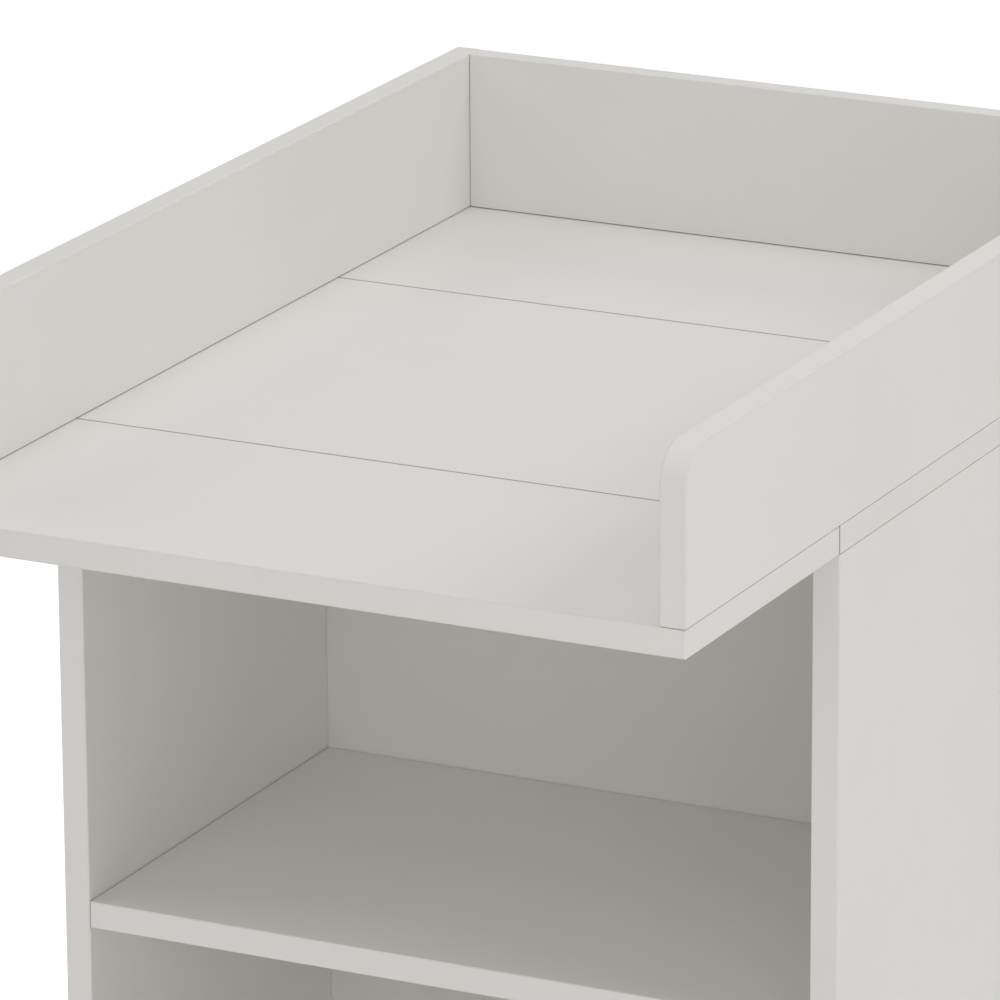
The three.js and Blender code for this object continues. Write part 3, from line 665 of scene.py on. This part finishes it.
def make_fittings():
    for node in sorted(frame["nodes"]):
        side = "left" if sign_of(node) < 0 else "right"
        side_panel, side_fence = f"side_panel_{side}", f"side_fence_{side}"
        if "_cam_" in node:
            board = node.split("_cam_")[0]
            make_cam(node, board, side_fence if board == "back_fence" else side_panel)
        elif node.startswith(("front_board_screw", "rear_board_screw")):
            make_deck_screw(node, [node.split("_screw")[0], side_fence])
        elif node.startswith("back_fence_screw"):
            make_deck_screw(node, ["rear_board", "back_fence"])
        elif "edge_screw" in node:
            make_pan_screw(node, side_panel)
        elif "screw" in node:
            make_pan_screw(node, "rear_board")
        elif node.startswith("locating_peg"):
            make_peg(node, ["top_panel", side_fence])
        elif node.startswith("shelf_pin"):
            make_pin(node, side_panel)
        elif node.startswith("glide"):
            make_glide(node, side_panel)
        elif node.startswith(("hold_down", "wall_bracket")):
            make_bracket(node)


# ---- boards ----
BOARD_MATERIALS = [FACE, BAND, ROUNDING, CHIPBOARD, SEAM_SHADE]


def mark_faces(bm, node):
    """Foil on the faces, band round the edges, roundings between, painted seam shade where a rounding has
    another board beside it, and raw where another board hides it.
    """
    low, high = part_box(node)
    size = high - low
    thin = list(size).index(min(size))
    for face in bm.faces:
        across = abs(face.normal[thin])
        rounded = max(abs(part) for part in face.normal) < FACING
        stacked = abs(face.normal.z) > FACING or thin == 2
        if across > FACING:
            finish = FACE
        # painted seam shade: half-bright foil on roundings beside another board
        elif rounded and node != "loose_shelf" and takes_seam_shade(face, node):
            finish = SEAM_SHADE
        elif across > 1 - FACING:
            finish = ROUNDING
        elif stacked and meets_board(face.calc_center_median(), node, HIDDEN_REACH):
            finish = CHIPBOARD
        else:
            finish = BAND
        face.material_index = BOARD_MATERIALS.index(finish)


def drill(piece, board, extra=()):
    for profile, matrix in bores.get(board, []):
        combine(piece, to_object("drill", turned(profile, matrix), [CHIPBOARD]), "DIFFERENCE")
    for low, high in extra:
        combine(piece, to_object("saw", box_body(low, high), [CHIPBOARD]), "DIFFERENCE")


def groove_space():
    low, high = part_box("back_panel")
    margin = Vector((CLEARANCE,) * 3)
    return low - margin, high + margin


def meets_board(point, node, reach):
    """True where another board comes within reach of a point on this one."""
    for other, (low, high) in BOARD_BOXES.items():
        nearest = Vector(min(max(point[i], low[i]), high[i]) for i in range(3))
        if other != node and (point - nearest).length < reach:
            return True
    return False


def takes_seam_shade(face, node):
    """True on a rounding with another board beside it across X or Y; where a board lies straight out from a
    rounding that does not face up, true only if it faces down onto a board below. Such roundings get the
    painted seam shade.
    """
    centre, normal = face.calc_center_median(), face.normal

    def meets(way):
        return meets_board(centre + way * CORNER_PROBE, node, CORNER_REACH)

    leans = [axis * normal.dot(axis) for axis in (X, Y) if abs(normal.dot(axis)) > LEANING]
    beside = any(meets(lean.normalized()) for lean in leans)
    if meets(normal) and normal.z < LEANING:
        return normal.z < -LEANING and meets(-Z)
    return beside


def ease_edges(bm, node):
    """Rounds a board's edges: finely where it meets another board, by the whole arris elsewhere."""
    weight = bm.edges.layers.float.new("bevel_weight_edge")
    for edge in bm.edges:
        if edge.calc_face_angle(0) > math.radians(30):
            middle = (edge.verts[0].co + edge.verts[1].co) / 2
            edge[weight] = JOINT_ARRIS if meets_board(middle, node, JOINT_REACH) else 1
    piece = to_object("eased", bm, [])
    bevel = piece.modifiers.new("arris", "BEVEL")
    bevel.limit_method = "WEIGHT"
    bevel.width = ARRIS
    bevel.segments = ARRIS_STEPS
    graph = bpy.context.evaluated_depsgraph_get()
    eased = bmesh.new()
    eased.from_object(piece, graph)
    bpy.data.objects.remove(piece)
    eased.normal_update()
    return eased


def make_board(node, extra=()):
    bm = ease_edges(box_body(*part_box(node)), node)
    mark_faces(bm, node)
    piece = to_object(node + "_board", bm, BOARD_MATERIALS)
    drill(piece, node, extra)
    smooth(piece)
    hand_over(piece, node)


def make_side_fence(node):
    """A fence with its front top corner rounded, drawn from front to rear and extruded across."""
    low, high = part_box(node)
    radius = FENCE_CORNER
    arc = []
    for step in range(FENCE_CORNER_STEPS + 1):
        turn = math.pi / 2 * step / FENCE_CORNER_STEPS
        arc.append((low.y + radius - radius * math.cos(turn), high.z - radius + radius * math.sin(turn)))
    outline = [(low.y, low.z), *arc, (high.y, high.z), (high.y, low.z)]
    place = frame_at(Vector((low.x, 0, 0)), X, Y)
    bm = ease_edges(extrude_outline(outline, place, high.x - low.x), node)
    mark_faces(bm, node)
    piece = to_object(node + "_board", bm, BOARD_MATERIALS)
    drill(piece, node)
    smooth(piece, 25)
    hand_over(piece, node)


def make_back_panel(node):
    low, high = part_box(node)
    bm = box_body(low, high)
    round_edges(bm, SHEET_EDGE, 1)
    bm.normal_update()
    for face in bm.faces:
        face.material_index = 0 if face.normal.y < -0.5 else 1
    piece = to_object(node + "_sheet", bm, [HARDBOARD_FRONT, HARDBOARD_BACK])
    smooth(piece)
    hand_over(piece, node)


def make_boards():
    for node in GROOVED_BOARDS:
        make_board(node, [groove_space()])
    for node in PLAIN_BOARDS:
        make_board(node)
    for node in SIDE_FENCES:
        make_side_fence(node)
    make_back_panel("back_panel")


# ---- stage ----
def make_floor():
    """A round floor, its rings wider towards the edge, that looks pure white."""
    bm = bmesh.new()
    rings, sides, reach = FLOOR["rings"], FLOOR["sides"], FLOOR["reach"]
    circle = [[] for _ in range(rings)]
    centre = bm.verts.new((0, 0, 0))
    for ring in range(rings):
        radius = reach * ((ring + 1) / rings) ** 2
        for side in range(sides):
            turn = math.tau * side / sides
            circle[ring].append(bm.verts.new((radius * math.cos(turn), radius * math.sin(turn), 0)))
    for side in range(sides):
        after = (side + 1) % sides
        bm.faces.new((centre, circle[0][side], circle[0][after]))
        for inner, outer in zip(circle, circle[1:]):
            bm.faces.new((inner[side], outer[side], outer[after], inner[after]))
    n = Nodes("studio_floor")
    colour = n.ramp(n.noise(1.5), (0.3, (0.93, 0.93, 0.93)), (0.7, (0.95, 0.95, 0.95)))
    seen = n.add("ShaderNodeLightPath").outputs["Is Camera Ray"]
    n.finish(Base_Color=colour, Roughness=0.9, Emission_Color=(0.5, 0.5, 0.5, 1), Emission_Strength=seen)
    floor = to_object("studio_floor", bm, [n.material])


def soft_box(name, place, power):
    light = bpy.data.lights.new(name, "AREA")
    light.shape = "DISK"
    light.size = SOFT_BOX_SIZE
    light.energy = power
    light.color = LIGHT_COLOUR
    lamp = bpy.data.objects.new(name, light)
    lamp.location = place
    lamp.rotation_euler = ((cad_low + cad_high) / 2 - place).to_track_quat("-Z", "Y").to_euler()
    bpy.context.scene.collection.objects.link(lamp)


def make_light():
    world = bpy.data.worlds.new("studio")
    bpy.context.scene.world = world
    world.use_nodes = True
    tree = world.node_tree
    dome = tree.nodes["Background"]
    dome.inputs["Color"].default_value = (*LIGHT_COLOUR, 1)
    dome.inputs["Strength"].default_value = DOME
    seen = tree.nodes.new("ShaderNodeBackground")
    seen.inputs["Strength"].default_value = BACKDROP
    seen.inputs["Color"].default_value = (1, 1, 1, 1)
    mix = tree.nodes.new("ShaderNodeMixShader")
    ray = tree.nodes.new("ShaderNodeLightPath")
    tree.links.new(ray.outputs["Is Camera Ray"], mix.inputs[0])
    tree.links.new(dome.outputs[0], mix.inputs[1])
    tree.links.new(seen.outputs[0], mix.inputs[2])
    tree.links.new(mix.outputs[0], tree.nodes["World Output"].inputs["Surface"])
    for name, (place, power) in SOFT_BOXES.items():
        soft_box(name, place, power)
    bpy.context.scene.cycles.diffuse_bounces = BOUNCES
    view = bpy.context.scene.view_settings
    view.view_transform = "Standard"
    view.look = "None"
    view.exposure = 0
    view.gamma = 1


def make_camera():
    data = bpy.data.cameras.new("photo_camera")
    data.sensor_width = CAMERA_SENSOR
    data.lens = CAMERA_LENS
    data.clip_start = CAMERA_NEAR
    data.clip_end = CAMERA_FAR
    camera = bpy.data.objects.new("photo_camera", data)
    camera.location = CAMERA_PLACE
    yaw = Matrix.Rotation(math.radians(CAMERA_YAW), 4, "Z")
    pitch = Matrix.Rotation(math.radians(90 - CAMERA_PITCH), 4, "X")
    roll = Matrix.Rotation(math.radians(CAMERA_ROLL), 4, "Z")
    camera.rotation_euler = (yaw @ pitch @ roll).to_euler()
    bpy.context.scene.collection.objects.link(camera)
    bpy.context.scene.camera = camera


make_camera()
make_light()
make_floor()
make_fittings()
make_boards()
